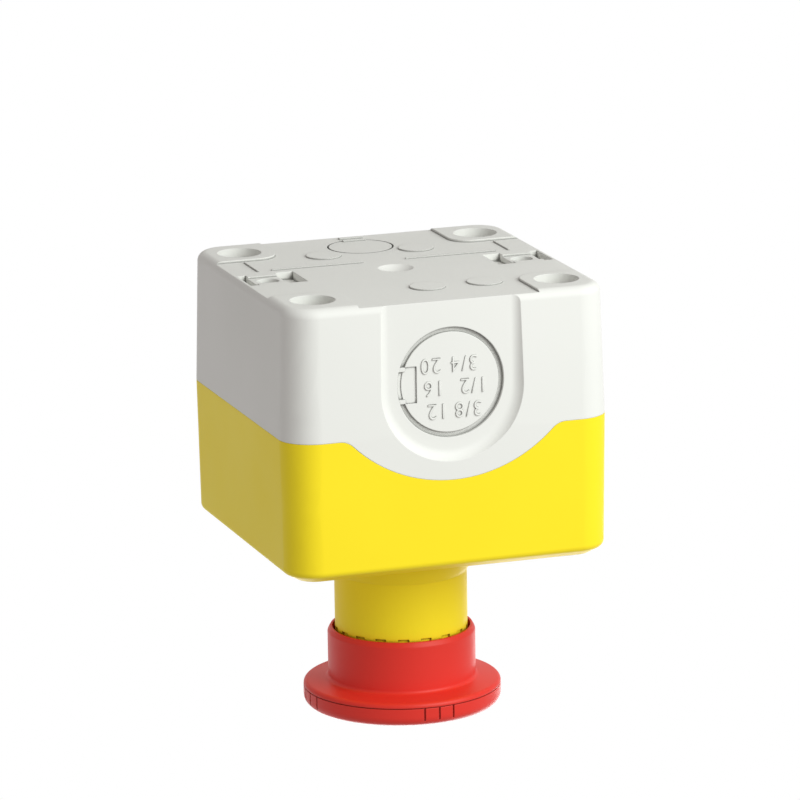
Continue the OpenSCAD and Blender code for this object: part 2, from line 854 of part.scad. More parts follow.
// Seat of the return spring, locked on the stem's neck
module spring_cup() {
    r = spring_r + spring_wire / 2 + cup_gap;
    color(dark_grey) translate([0, 0, cup_z]) rotate_extrude() polygon([
        [neck_r + fit, 0], [r, 0], [r, -cup_lip], [r + cup_wall, -cup_lip],
        [r + cup_wall, cup_t], [neck_r + fit, cup_t]
    ]);
}

module turn_spring() {
    color(steel)
        coil(turn_spring_r, turn_wire, turn_coils, turn_bore_z + 2 * fit, neck_top_z - 2 * fit, 12, 6);
}

module mushroom_skirt() {
    rim_z = cap_z - cap_seam_h - flange_t;
    foot = rim_z - flange_slope;
    mouth_w = skirt_wall - mouth_edge;
    fillet = [for (a = [0 : 15 : 90]) [skirt_r + root_r * (1 - cos(a)), foot - root_r * (1 - sin(a))]];
    rim = [for (a = [0 : 15 : 90]) [cap_r - rim_edge * (1 - sin(a)), rim_z + rim_edge * (1 - cos(a))]];
    color(red) rotate_extrude()
        polygon(concat(
            [
                [skirt_in, skirt_z], [skirt_in + mouth_w, skirt_z],
                [skirt_r - mouth_edge / 5, skirt_z + 1.4 * mouth_edge], [skirt_r, skirt_z + 2 * mouth_edge]
            ],
            fillet,
            rim,
            [[cap_r, cap_z - cap_seam_h], [skirt_in, cap_z - cap_seam_h]]
        ));
}

// Curved arrow that shows the way to turn, in the plane
module arrow_plan() {
    sweep = 48;
    head = 16;
    barb = 1.3 * arrow_w;
    far = 2 * arrow_r;
    intersection() {
        difference() {
            circle(arrow_r + arrow_w / 2);
            circle(arrow_r - arrow_w / 2);
        }
        polygon(concat([[0, 0]], [for (a = [0, sweep / 2, sweep]) far * [cos(a), sin(a)]]));
    }
    polygon([[arrow_r + barb, 0], [arrow_r - barb, 0], arrow_r * [cos(head), -sin(head)]]);
}

module mushroom_cap() {
    hub_r = neck_r + run_gap + hub_wall;
    hub_z = cup_z + cup_t + slack;
    color(red) rotate(head_turn) difference() {
        union() {
            translate([0, 0, cap_z]) rotate_extrude() {
                square([cap_r - cap_edge_r, cap_h]);
                square([cap_r, cap_h - cap_edge_r]);
                translate([cap_r - cap_edge_r, cap_h - cap_edge_r]) circle(cap_edge_r);
            }
            translate([0, 0, cap_z - cap_seam_h]) cylinder(h = over, r = cap_r - cap_seam_d);
            translate([0, 0, hub_z]) cylinder(h = cap_z + over - hub_z, r = hub_r);
        }
        translate([0, 0, cup_z]) cylinder(h = neck_top_z + slack - cup_z, r = neck_r + run_gap);
        translate([0, 0, cup_z]) cylinder(h = rod_top_z + fit - cup_z, r = rod_r + fit);
        for (i = [0 : grip_groups - 1], j = [0 : grip_n - 1])
            rotate(360 * i / grip_groups - 90 + grip_step * (j - (grip_n - 1) / 2))
                translate([cap_r - grip_d, -grip_w / 2, cap_z - over])
                    cube([grip_d + over, grip_w, over + cap_h - grip_top]);
        translate([0, 0, total_h - arrow_d]) linear_extrude(over)
            for (i = [0 : arrow_n - 1]) rotate(360 * i / arrow_n) arrow_plan();
    }
}

// Rod that turns with the cap and opens the latch
module release_rod() {
    color(dark_grey) {
        difference() {
            translate([0, 0, rod_foot_z]) cylinder(h = rod_top_z - rod_foot_z, r = rod_r);
            for (m = [0, 1]) mirror([m, 0, 0]) translate([key_w / 2, -far_cut / 2, rod_foot_z - over])
                cube([far_cut, far_cut, key_l + over]);
        }
    }
}

// Contact blocks: side is -1 for the opening and 1 for the closing contact
module at_block(side) {
    translate([side * block_x, 0, block_z]) mirror([side < 0 ? 1 : 0, 0, 0]) children();
}

module both_ends() {
    for (m = [0, 1]) mirror([0, m, 0]) children();
}

module block_housing() {
    w = block_w / 2;
    translate([-w, -block_l / 2, -block_h]) difference() {
        cube([block_w - lid_t - fit, block_l, block_h]);
        // Middle chamber and the two terminal chambers
        translate([block_wall, block_l / 2 - chamber, block_wall])
            cube([block_w, 2 * chamber, block_h - 2 * block_wall]);
        translate([0, block_l / 2, 0]) both_ends() {
            translate([block_wall, chamber + cross_wall, block_wall])
                cube([block_w, term_room, block_h - 2 * block_wall]);
            translate([block_wall, chamber - over, block_h + strip_z - strip_slot / 2])
                cube([block_w, cross_wall + 2 * over, strip_slot]);
            // Screwdriver hole and wire entry
            translate([w, term_y, -over]) cylinder(h = 2 * block_wall + over, r = term_head_r + slack);
            translate([w - wire_w / 2, block_l / 2 - 2 * block_wall, block_h + strip_z - strip_t - wire_h])
                cube([wire_w, 3 * block_wall, wire_h]);
        }
        // Hole for the plunger
        translate([w - plunger_hole / 2, (block_l - plunger_hole) / 2, block_h - 2 * block_wall])
            cube([plunger_hole, plunger_hole, 3 * block_wall]);
    }
}

module block_lid() {
    pitch = (block_l - 2 * lid_end + lid_panel_gap) / lid_panel_n;
    difference() {
        translate([block_w / 2 - lid_t, -block_l / 2, -block_h]) cube([lid_t, block_l, block_h]);
        // Ribs between shallow panels on the outside
        for (i = [0 : lid_panel_n - 1])
            translate([block_w / 2 - lid_panel_d, lid_end - block_l / 2 + i * pitch, lid_edge - block_h])
                cube([lid_panel_d + over, pitch - lid_panel_gap, block_h - 2 * lid_edge]);
    }
}

module plunger(bridge_z) {
    foot = bridge_z + bridge_t / 2 + fit;
    translate([-plunger_w / 2, -plunger_w / 2, foot]) cube([plunger_w, plunger_w, plunger_top - foot]);
    translate([0, 0, bridge_z - spigot_l]) cylinder(h = foot - bridge_z + spigot_l + fit, r = spigot_r);
}

module bridge(bridge_z, tips_up) {
    translate([0, 0, bridge_z]) difference() {
        union() {
            cube([bridge_w, bridge_l, bridge_t], center = true);
            both_ends() translate([0, tip_y, tips_up ? 0 : -bridge_t / 2 - tip_h])
                cylinder(h = bridge_t / 2 + tip_h, r = tip_r);
        }
        translate([0, 0, -over]) cylinder(h = 2 * over, r = spigot_r + fit);
    }
}

module contact_spring(bridge_z) {
    coil(contact_spring_r, contact_wire, contact_coils, block_wall - block_h + fit,
        bridge_z - bridge_t / 2 - fit, 10, 6);
}

module terminals(level, tip_down) {
    both_ends() difference() {
        union() {
            translate([-strip_w / 2, strip_y, level - strip_t / 2])
                cube([strip_w, jog_y - strip_y, strip_t]);
            translate([-strip_w / 2, jog_y - strip_t, min(level, strip_z) - strip_t / 2])
                cube([strip_w, strip_t, abs(level - strip_z) + strip_t]);
            translate([-strip_w / 2, jog_y - strip_t, strip_z - strip_t / 2])
                cube([strip_w, block_l / 2 - block_wall - jog_y, strip_t]);
            translate([0, tip_y, tip_down ? level - strip_t / 2 - tip_h : level])
                cylinder(h = tip_h + strip_t / 2, r = tip_r);
        }
        translate([0, term_y, strip_z - over]) cylinder(h = 2 * over, r = term_d / 2 + fit);
    }
}

module clamps() {
    z = strip_z - strip_t / 2 - fit - clamp_t;
    both_ends() translate([0, term_y, z]) difference() {
        translate([-clamp_w / 2, -clamp_w / 2, 0]) cube([clamp_w, clamp_w, clamp_t]);
        translate([0, 0, -over]) cylinder(h = clamp_t + 2 * over, r = term_d / 2 + fit);
    }
}

module terminal_screws() {
    z = strip_z - strip_t / 2 - 2 * fit - clamp_t - term_head_h;
    both_ends() translate([0, term_y, z]) difference() {
        union() {
            cylinder(h = term_head_h, r = term_head_r);
            cylinder(h = term_head_h + clamp_t + strip_t + term_tail, r = term_d / 2);
        }
        translate([-term_head_r - over, -driver_w / 2, -over])
            cube([2 * (term_head_r + over), driver_w, over + term_head_h / 2]);
        translate([-driver_w / 2, -term_d / 2, -over]) cube([driver_w, term_d, over + term_head_h / 2]);
    }
}

module nc_housing() { color(light_grey) at_block(-1) block_housing(); }
module nc_lid() { color(red) at_block(-1) block_lid(); }
module nc_plunger() { color(red) at_block(-1) plunger(nc_bridge_z); }
module nc_bridge() { color(brass) at_block(-1) bridge(nc_bridge_z, true); }
module nc_spring() { color(steel) at_block(-1) contact_spring(nc_bridge_z); }
module nc_terminals() { color(brass) at_block(-1) terminals(nc_strip_z, true); }
module nc_clamps() { color(steel) at_block(-1) clamps(); }
module nc_screws() { color(steel) at_block(-1) terminal_screws(); }

module no_housing() { color(light_grey) at_block(1) block_housing(); }
module no_lid() { color(green) at_block(1) block_lid(); }
module no_plunger() { color(green) at_block(1) plunger(no_bridge_z); }
module no_bridge() { color(brass) at_block(1) bridge(no_bridge_z, false); }
module no_spring() { color(steel) at_block(1) contact_spring(no_bridge_z); }
module no_terminals() { color(brass) at_block(1) terminals(no_strip_z, false); }
module no_clamps() { color(steel) at_block(1) clamps(); }
module no_screws() { color(steel) at_block(1) terminal_screws(); }

base_housing();
cover();
cover_seal();
cover_screws();
bezel_sleeve();
bezel_seal();
operator_body();
fixing_collar();
collar_screws();
latch_ring();
stem_seal();
return_spring();
stem();
spring_cup();
turn_spring();
mushroom_skirt();
mushroom_cap();
release_rod();
nc_housing();
nc_lid();
nc_plunger();
nc_bridge();
nc_spring();
nc_terminals();
nc_clamps();
nc_screws();
no_housing();
no_lid();
no_plunger();
no_bridge();
no_spring();
no_terminals();
no_clamps();
no_screws();
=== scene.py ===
# %% [markdown]
# # Emergency stop station
# A square two-part enclosure carries a red mushroom button on a yellow sleeve. The shapes come
# from a imported CAD model. Blender's work here is the finish: moulded plastics and metals, fine
# detail on the outer pieces, copies of the springs, the raised sizes on the knock-outs, soft light
# and a camera where the photograph's was.
#
# The first cell loads the model as a fixed frame. The dressed model may not grow past it.

# %% Load the frame
import json
import math

import bmesh
import bpy
from mathutils import Matrix, Vector


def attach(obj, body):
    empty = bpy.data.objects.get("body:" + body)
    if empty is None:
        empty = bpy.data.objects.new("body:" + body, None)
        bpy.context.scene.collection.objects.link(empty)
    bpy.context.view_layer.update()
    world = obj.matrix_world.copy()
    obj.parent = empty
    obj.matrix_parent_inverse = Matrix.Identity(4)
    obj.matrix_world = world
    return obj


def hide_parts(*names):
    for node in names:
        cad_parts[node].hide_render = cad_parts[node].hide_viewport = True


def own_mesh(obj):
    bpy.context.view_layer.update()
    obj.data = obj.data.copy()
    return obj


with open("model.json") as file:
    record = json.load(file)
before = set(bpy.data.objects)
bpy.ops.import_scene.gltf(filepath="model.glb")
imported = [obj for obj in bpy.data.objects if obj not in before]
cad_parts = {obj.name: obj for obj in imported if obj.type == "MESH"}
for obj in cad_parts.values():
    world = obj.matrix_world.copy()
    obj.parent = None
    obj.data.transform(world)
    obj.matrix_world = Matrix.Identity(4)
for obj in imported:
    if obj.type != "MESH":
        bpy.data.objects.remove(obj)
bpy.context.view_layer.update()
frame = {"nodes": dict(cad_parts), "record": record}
MM = 0.001

# %% [markdown]
# ## Colour
# Colours are written as the hex values that a designer reads off a screen. Blender mixes light
# in linear values, so one function turns each hex value into those.

# %% Turn sRGB hex values into linear colours
def linear(hex_value):
    """Linear RGBA for a colour such as 'F0F0EC'."""
    parts = [int(hex_value[i:i + 2], 16) / 255 for i in (0, 2, 4)]
    return tuple(c / 12.92 if c <= 0.04045 else ((c + 0.055) / 1.055) ** 2.4 for c in parts) + (1.0,)


print("mid grey in linear light:", round(linear("808080")[0], 3))

# %% [markdown]
# ## One helper for shader nodes
# A material is a small graph. Adding a node means making it, setting its options and joining its
# inputs, so one function does all three: an input that is given a socket is linked to it, and
# any other value is set on the socket itself.

# %% Add a shader node
def add(tree, kind, inputs=None, **options):
    """A new node in tree. inputs maps a name or an index to a value or to another node's output."""
    node = tree.nodes.new(kind)
    for name, value in options.items():
        setattr(node, name, value)
    for key, value in (inputs or {}).items():
        if isinstance(value, bpy.types.NodeSocket):
            tree.links.new(value, node.inputs[key])
        else:
            node.inputs[key].default_value = value
    return node


def new_material(name):
    """An empty node material and its tree, with only the output node left in it."""
    material = bpy.data.materials.new(name)
    material.use_nodes = True
    tree = material.node_tree
    tree.nodes.clear()
    output = tree.nodes.new("ShaderNodeOutputMaterial")
    return material, tree, output


print("helpers ready")

# %% [markdown]
# ## Injection-moulded plastic
# The shells are injection moulded: molten plastic is pressed into a steel mould. The edges of a
# moulded piece are never razor sharp, and handling polishes them. The colour is a little lighter on
# every edge, partly for that wear and partly as a painted highlight. In grooves and round the feet
# of raised marks the colour is darker: that is painted shade, where less light reaches.
#
# Both could be painted by hand, but a shader finds them by itself. A Bevel node rounds the shading
# of the edges, and where the bevelled and the true normal disagree there is an edge: the colour is
# a little lighter there. An Ambient Occlusion node that looks about a millimetre far finds the
# grooves, and the colour is painted darker there as shade.

# %% Find edges and grooves
# Lighter edges: partly wear, partly a painted highlight along each edge.
EDGE_FULL = 0.75            # agreement of the normals at which an edge has its full share
EDGE_SHARE = 0.5
# Painted shade in grooves, where the Ambient Occlusion node finds little open sky.
PAINTED_SHADE_FROM = 0.7             # share of open sky below which soil begins
PAINTED_SHADE_FULL = 0.58            # share of open sky at which it is full
PAINTED_SHADE_SHARE = 0.8


def wear_highlight_and_shade(tree, tone, soft, edge_hex, painted_shade_hex, painted_shade_mm):
    """The colour tone, lighter on edges for wear and a painted highlight, with painted shade in grooves.
    soft is the bevelled normal.
    """
    true = add(tree, "ShaderNodeNewGeometry")
    agree = add(tree, "ShaderNodeVectorMath", {0: soft, 1: true.outputs["Normal"]},
                operation="DOT_PRODUCT")
    edge = add(tree, "ShaderNodeMapRange",
               {"Value": agree.outputs["Value"], "From Min": 1.0, "From Max": EDGE_FULL,
                "To Min": 0.0, "To Max": EDGE_SHARE})
    # Lighter edges, partly rubbed wear and partly a painted highlight.
    worn_and_highlit = add(tree, "ShaderNodeMix",
               {0: edge.outputs["Result"], 6: tone, 7: linear(edge_hex)}, data_type="RGBA")
    # Painted shade: a darker colour in grooves and round raised marks, where less light reaches.
    open_sky = add(tree, "ShaderNodeAmbientOcclusion", {"Distance": painted_shade_mm * MM}, samples=8)
    painted_shade = add(tree, "ShaderNodeMapRange",
               {"Value": open_sky.outputs["AO"], "From Min": PAINTED_SHADE_FROM, "From Max": PAINTED_SHADE_FULL,
                "To Min": 0.0, "To Max": PAINTED_SHADE_SHARE})
    used = add(tree, "ShaderNodeMix",
               {0: painted_shade.outputs["Result"], 6: worn_and_highlit.outputs[2], 7: linear(painted_shade_hex)}, data_type="RGBA")
    return used.outputs[2]


print("soil begins where", PAINTED_SHADE_FROM, "of the sky is open")

# %% [markdown]
# The plastic takes the finish of its mould. A mould that was eroded by sparks leaves a very fine,
# even grain, which softens reflections. Thick and thin walls cool at different speeds, so gloss
# and tone drift a little over the length of a finger. Fine noise gives the grain as bump, and
# slow noise gives the drift.

# %% Make a moulded plastic
PLASTIC_IOR = 1.53          # ABS and nylon have nearly the same
NOISE_LOW, NOISE_HIGH = 0.3, 0.7        # slow noise stays mostly between these
GLOSS_DRIFT = 0.03


def moulded_plastic(name, body_hex, drift_hex, edge_hex, painted_shade_hex, roughness, grain_mm,
                    grain_depth_mm, specular=0.25, drift_mm=22.0, edge_mm=0.25, painted_shade_mm=1.0):
    """Plastic with a fine grain of grain_mm, a tone that drifts over drift_mm, lighter edges (wear and a
    painted highlight) and painted shade in grooves.
    """
    material, tree, output = new_material(name)
    place = add(tree, "ShaderNodeTexCoord").outputs["Object"]
    soft = add(tree, "ShaderNodeBevel", {"Radius": edge_mm * MM}, samples=6).outputs["Normal"]
    drift = add(tree, "ShaderNodeTexNoise", {"Vector": place, "Scale": 1 / (drift_mm * MM), "Detail": 2.0})
    tone = add(tree, "ShaderNodeMix",
               {0: drift.outputs["Fac"], 6: linear(body_hex), 7: linear(drift_hex)}, data_type="RGBA")
    # Lighter edges (wear and a painted highlight) and painted shade in grooves come in here.
    colour = wear_highlight_and_shade(tree, tone.outputs[2], soft, edge_hex, painted_shade_hex, painted_shade_mm)
    gloss = add(tree, "ShaderNodeMapRange",
                {"Value": drift.outputs["Fac"], "From Min": NOISE_LOW, "From Max": NOISE_HIGH,
                 "To Min": roughness - GLOSS_DRIFT, "To Max": roughness + GLOSS_DRIFT})
    grain = add(tree, "ShaderNodeTexNoise",
                {"Vector": place, "Scale": 1 / (grain_mm * MM), "Detail": 1.0})
    bump = add(tree, "ShaderNodeBump",
               {"Height": grain.outputs["Fac"], "Distance": grain_depth_mm * MM, "Strength": 1.0,
                "Normal": soft})
    shader = add(tree, "ShaderNodeBsdfPrincipled",
                 {"Base Color": colour, "Roughness": gloss.outputs["Result"],
                  "IOR": PLASTIC_IOR, "Specular IOR Level": specular, "Normal": bump.outputs["Normal"]})
    tree.links.new(shader.outputs["BSDF"], output.inputs["Surface"])
    return material


print("moulded plastic ready, with an IOR of", PLASTIC_IOR)

# %% [markdown]
# ## The shells' plastics
# The base is pale grey ABS. It looks white where the light falls on it and grey elsewhere. The
# cover and the sleeve are signal yellow, which is a full, slightly warm yellow. The mushroom is
# signal red and a little glossier, because fingers polish it.
#
# The real grain is about 0.05 mm, too fine for this camera, so it is drawn at 0.3 mm and shallow.
# The grain scatters the mirror part of the reflection, so the specular level is below the usual
# 0.5. Each plastic has four colours: its own, the one it drifts to, its lighter edges (wear and a
# painted highlight) and its painted shade for grooves.

# %% Mix the shells' plastics
GRAIN_MM = 0.3
SHELL_SPECULAR = 0.18
# After the body colour and its drift come the lighter edge colour (wear and a painted highlight) and the
# painted shade colour for grooves.
pale_grey_abs = moulded_plastic("pale_grey_abs", "E8E8E4", "E4E5E0", "EBEBE8", "72726E", 0.5,
                                GRAIN_MM, grain_depth_mm=0.004, specular=SHELL_SPECULAR)
signal_yellow_abs = moulded_plastic("signal_yellow_abs", "FFE827", "FCE221", "FFED48", "A88A1C", 0.48,
                                    GRAIN_MM, grain_depth_mm=0.004, specular=SHELL_SPECULAR)
signal_red_abs = moulded_plastic("signal_red_abs", "E2352A", "DA3026", "E85246", "BC2A22", 0.42,
                                 GRAIN_MM, grain_depth_mm=0.003)
print("shell plastics:", pale_grey_abs.name, signal_yellow_abs.name, signal_red_abs.name)

# %% [markdown]
# ## The inner plastics
# Inside, the contact blocks are grey glass-filled nylon, which is duller than ABS, and the
# plungers are coloured by what they do: red opens a contact and green closes one. The guide tube
# is black nylon. Glass fibres lie just under the skin, so the grain is coarser and deeper than on
# the shells. The seals are moulded from nitrile rubber, which is black and nearly without gloss.

# %% Mix the inner plastics
FIBRE_MM = 0.4
RUBBER_GRAIN_MM = 0.25
# After the body colour and its drift come the lighter edge colour (wear and a painted highlight) and the
# painted shade colour for grooves.
grey_nylon = moulded_plastic("grey_nylon", "B4B7B7", "AAADAD", "C2C4C4", "7C7E7E", 0.55,
                             FIBRE_MM, grain_depth_mm=0.008)
black_nylon = moulded_plastic("black_nylon", "26282A", "1F2123", "3A3D40", "141516", 0.5,
                              FIBRE_MM, grain_depth_mm=0.008)
green_nylon = moulded_plastic("green_nylon", "2F8F4C", "2A8746", "4CA768", "1D5C30", 0.5,
                              FIBRE_MM, grain_depth_mm=0.006)
red_nylon = moulded_plastic("red_nylon", "C23028", "B82B24", "D2483F", "7A1E18", 0.5,
                            FIBRE_MM, grain_depth_mm=0.006)
nitrile_rubber = moulded_plastic("nitrile_rubber", "1B1C1D", "161718", "2A2B2C", "101112", 0.75,
                                 RUBBER_GRAIN_MM, grain_depth_mm=0.01)
print("inner plastics ready")

# %% [markdown]
# ## Metals
# Screws are zinc plated steel, the springs are drawn wire and the contacts are stamped brass.
# A metal's colour is its reflection's tint, so the base colour is bright, metallic is 1 and the
# finish is in the roughness. Drawing and stamping leave fine lines, so the noise is stretched.

# %% Make a worked metal
POLISHED = 0.06             # roughness that a line loses where the tool polished it
DULLED = 0.08               # roughness that it gains between


def worked_metal(name, metal_hex, stain_hex, roughness, line_mm, stretch, line_depth_mm=0.003, edge_mm=0.1):
    """Metal with fine lines: noise of line_mm, drawn out by stretch along Z."""
    material, tree, output = new_material(name)
    place = add(tree, "ShaderNodeTexCoord").outputs["Object"]
    drawn = add(tree, "ShaderNodeMapping", {"Vector": place, "Scale": (1.0, 1.0, 1.0 / stretch)})
    lines = add(tree, "ShaderNodeTexNoise",
                {"Vector": drawn.outputs["Vector"], "Scale": 1 / (line_mm * MM), "Detail": 3.0})
    tone = add(tree, "ShaderNodeMix",
               {0: lines.outputs["Fac"], 6: linear(metal_hex), 7: linear(stain_hex)}, data_type="RGBA")
    gloss = add(tree, "ShaderNodeMapRange",
                {"Value": lines.outputs["Fac"], "To Min": roughness - POLISHED,
                 "To Max": roughness + DULLED})
    soft = add(tree, "ShaderNodeBevel", {"Radius": edge_mm * MM}, samples=4)
    bump = add(tree, "ShaderNodeBump",
               {"Height": lines.outputs["Fac"], "Distance": line_depth_mm * MM,
                "Normal": soft.outputs["Normal"]})
    shader = add(tree, "ShaderNodeBsdfPrincipled",
                 {"Base Color": tone.outputs[2], "Metallic": 1.0, "Roughness": gloss.outputs["Result"],
                  "Normal": bump.outputs["Normal"]})
    tree.links.new(shader.outputs["BSDF"], output.inputs["Surface"])
    return material


zinc_plate = worked_metal("zinc_plated_steel", "D5D8DA", "B9BDC0", 0.3, line_mm=0.3, stretch=1)
spring_wire = worked_metal("drawn_spring_wire", "B8BABC", "8E9092", 0.28, line_mm=0.2, stretch=6)
contact_brass = worked_metal("stamped_brass", "D8B45F", "B8903F", 0.3, line_mm=0.25, stretch=3)
print("metals:", zinc_plate.name, spring_wire.name, contact_brass.name)

# %% [markdown]
# ## Dress the CAD pieces
# No CAD piece changes its shape. Each gets the finish of its slot in the record, so the table
# is by slot, and the pieces are read from the record. The red lid and plunger of the opening
# contact share a slot with the mushroom, but they are nylon, so they are named apart.

# %% Give every node its finish
FINISHES = {
    "white_shell": pale_grey_abs,
    "yellow_shell": signal_yellow_abs,
    "red_plastic": signal_red_abs,
    "green_plastic": green_nylon,
    "grey_plastic": grey_nylon,
    "black_plastic": black_nylon,
    "seal_rubber": nitrile_rubber,
    "screw_steel": zinc_plate,
    "spring_steel": spring_wire,
    "contact_brass": contact_brass,
}
INNER_RED = ("nc_lid", "nc_plunger")
for part in frame["record"]["subparts"]:
    piece = frame["nodes"][part["node"]]
    finish = red_nylon if part["node"] in INNER_RED else FINISHES[part["material_slot"]]
    piece.data.materials.clear()
    piece.data.materials.append(finish)

# %% [markdown]
# ## Fine detail of the outer pieces
# The joint between the shells is straight along the walls and rises in an arc over each side
# entry. On the real moulding it is rounded where line and arc meet, the disc of a knock-out lies
# a little deeper than its surround, and the back has shallow channels and two bars. The sleeve
# and the mushroom have small forms of the same kind.
#
# Such detail is added to a copy of the CAD piece by Boolean operations: a tool solid is joined to
# the copy or cut out of it. Two kinds of tool solid are enough here. A prism is an outline pushed
# along an axis, and a turned solid is a profile spun round one, as on a lathe. Their measures are
# millimetres, and their points come out in metres.

# %% Make tool solids
FLAT = Matrix.Identity(4)   # outlines lie in the plane of the back, and prisms rise along +Z


def prism(outline, low, high, place=FLAT):
    """Points and faces of a prism: an outline from low to high along the Z of place."""
    count = len(outline)
    points = [place @ Vector((x, y, h)) * MM for h in (low, high) for x, y in outline]
    sides = [(i, (i + 1) % count, count + (i + 1) % count, count + i) for i in range(count)]
    return points, [tuple(range(count)), tuple(range(count, 2 * count))] + sides


def block(x0, x1, y0, y1, low, high, place=FLAT):
    """A prism with a rectangular outline."""
    return prism([(x0, y0), (x1, y0), (x1, y1), (x0, y1)], low, high, place)


def turned(profile, centre=(0.0, 0.0), place=FLAT, steps=96):
    """A turned solid round centre. profile is a closed outline of (radius, height)."""
    x0, y0 = centre
    spots = []
    for radius, height in profile:
        for i in range(steps):
            angle = 2 * math.pi * i / steps
            spots.append((x0 + radius * math.cos(angle), y0 + radius * math.sin(angle), height))
    faces = []
    for k in range(len(profile)):
        here, after = k * steps, (k + 1) % len(profile) * steps
        for i in range(steps):
            j = (i + 1) % steps
            faces.append((here + i, here + j, after + j, after + i))
    return [place @ Vector(spot) * MM for spot in spots], faces


print("tool solids: prism, block, turned")

# %% [markdown]
# The tools of one operation go into one mesh. A turned solid with a point on its axis has that
# point once for every step, so points that coincide are merged, and all faces are turned outward.

# %% Join tool solids into a mesh
SAME_POINT = 0.0001         # millimetres


def closed_mesh(name, solids):
    """One mesh of tool solids."""
    made = bmesh.new()
    for points, faces in solids:
        corners = [made.verts.new(point) for point in points]
        for face in faces:
            made.faces.new([corners[i] for i in face])
    bmesh.ops.remove_doubles(made, verts=made.verts[:], dist=SAME_POINT * MM)
    bmesh.ops.recalc_face_normals(made, faces=made.faces[:])
    mesh = bpy.data.meshes.new(name)
    made.to_mesh(mesh)
    made.free()
    return mesh


print("points nearer than", SAME_POINT, "mm are one point")

# %% [markdown]
# A Boolean needs closed meshes. The CAD mesh comes with its corners split along sharp edges, so
# they are merged in the copy first, and the normals that came with it are dropped. A modifier
# does each operation, and its result is baked into the mesh.

# %% Copy a piece and reshape it
SAME_CORNER = 0.001         # millimetres


def baked(piece):
    """Gives piece the mesh that its modifiers make."""
    made = bpy.data.meshes.new_from_object(piece.evaluated_get(bpy.context.evaluated_depsgraph_get()))
    piece.modifiers.clear()
    piece.data = made


def reshaped(node, steps):
    """A closed copy of a CAD node's mesh after steps of (operation, tool solids)."""
    shell = bmesh.new()
    shell.from_mesh(frame["nodes"][node].data)
    bmesh.ops.remove_doubles(shell, verts=shell.verts[:], dist=SAME_CORNER * MM)
    mesh = bpy.data.meshes.new(node)
    shell.to_mesh(mesh)
    shell.free()
    if "custom_normal" in mesh.attributes:
        mesh.attributes.remove(mesh.attributes["custom_normal"])
    work = bpy.data.objects.new("work", mesh)
    bpy.context.scene.collection.objects.link(work)
    for operation, solids in steps:
        tool = bpy.data.objects.new("tool", closed_mesh("tool", solids))
        bpy.context.scene.collection.objects.link(tool)
        boolean = work.modifiers.new("shape", "BOOLEAN")
        boolean.operation = operation
        boolean.solver = "EXACT"
        boolean.object = tool
        baked(work)
        bpy.data.objects.remove(tool)
    mesh = work.data
    bpy.data.objects.remove(work)
    return mesh


print("CAD corners nearer than", SAME_CORNER, "mm are merged")

# %% [markdown]
# The finished mesh stands for its CAD node. Edges sharper than 25 degrees are marked, and the
# normals are weighted by the area of the faces, so that a flat wall stays flat beside a rounded
# corner.

# %% Let a mesh stand for its node
SHARP = math.radians(25)


def stand_in(name, mesh, node, body):
    """Shades a piece, gives it its CAD node's finish, and lets it ride and stand for the node."""
    piece = bpy.data.objects.new(name, mesh)
    bpy.context.scene.collection.objects.link(piece)
    mesh.shade_smooth()
    mesh.set_sharp_from_angle(angle=SHARP)
    weighting = piece.modifiers.new("flat walls", "WEIGHTED_NORMAL")
    weighting.keep_sharp = True
    baked(piece)
    piece.data.name = name
    piece.data.materials.clear()
    piece.data.materials.append(frame["nodes"][node].data.materials[0])
    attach(piece, body)
    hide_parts(node)
    print(name, "stands for", node, "with", len(piece.data.polygons), "faces")


print("edges sharper than", round(math.degrees(SHARP)), "degrees stay sharp")

# %% [markdown]
# ### Joint line
# The corner of the joint line is part of a circle with a radius of 4 mm, which touches the
# straight line and the arc. So its centre lies one radius above the line, and its distance from
# the arc's centre is the sum of both radii.

# %% Find the corners of the joint line
JOINT_Z = 26.7              # height of the straight line
ARC_Z = 6.95                # height of the arc's centre
ARC_R = 29.5
BLEND = 4.0                 # radius of the rounded corner
BLEND_STEPS = 12
SUNK = 0.3                  # how far a filling reaches into the base

blend_z = JOINT_Z + BLEND
blend_x = math.sqrt((ARC_R + BLEND) ** 2 - (blend_z - ARC_Z) ** 2)
blend_start = 1.5 * math.pi
blend_end = math.atan2(ARC_Z - blend_z, -blend_x) % (2 * math.pi)


def joint_corner(side, radius):
    """Outline of the filled corner on one side, under a circle of radius about the blend's centre."""
    outline = []
    for i in range(BLEND_STEPS + 1):
        angle = blend_start + (blend_end - blend_start) * i / BLEND_STEPS
        outline.append((side * (blend_x + radius * math.cos(angle)), blend_z + radius * math.sin(angle)))
    outline.append((outline[-1][0] - side * SUNK, JOINT_Z - SUNK))
    outline.append((side * blend_x, JOINT_Z - SUNK))
    return outline


print("the corners round about", round(blend_x, 2), "mm to each side of the entry")

# %% [markdown]
# What lies under the circle is joined to the base. The cover loses the same piece and a tenth of
# a millimetre more, which is the gap between the shells. Both side entries need it, so there is a
# place for each: its Z points out of the wall, and its Y points up.

# %% Round the corners
JOINT_GAP = 0.1
WALL_IN = 31.45             # depths along the place's Z, from the middle of the station
WALL_OUT = 33.99
CLEAR = 1.0                 # how far a cutting tool stands out of the wall

entry_faces = [Matrix.Rotation(angle, 4, "Z") @ Matrix.Rotation(math.pi / 2, 4, "X")
               for angle in (0, math.pi)]
filled = []
cleared = []
for face in entry_faces:
    for side in (-1, 1):
        filled.append(prism(joint_corner(side, BLEND), WALL_IN, WALL_OUT, face))
        cleared.append(prism(joint_corner(side, BLEND - JOINT_GAP), WALL_IN, WALL_OUT + CLEAR, face))
cover_mesh = reshaped("cover", [("DIFFERENCE", cleared)])
print("rounded", len(filled), "corners")

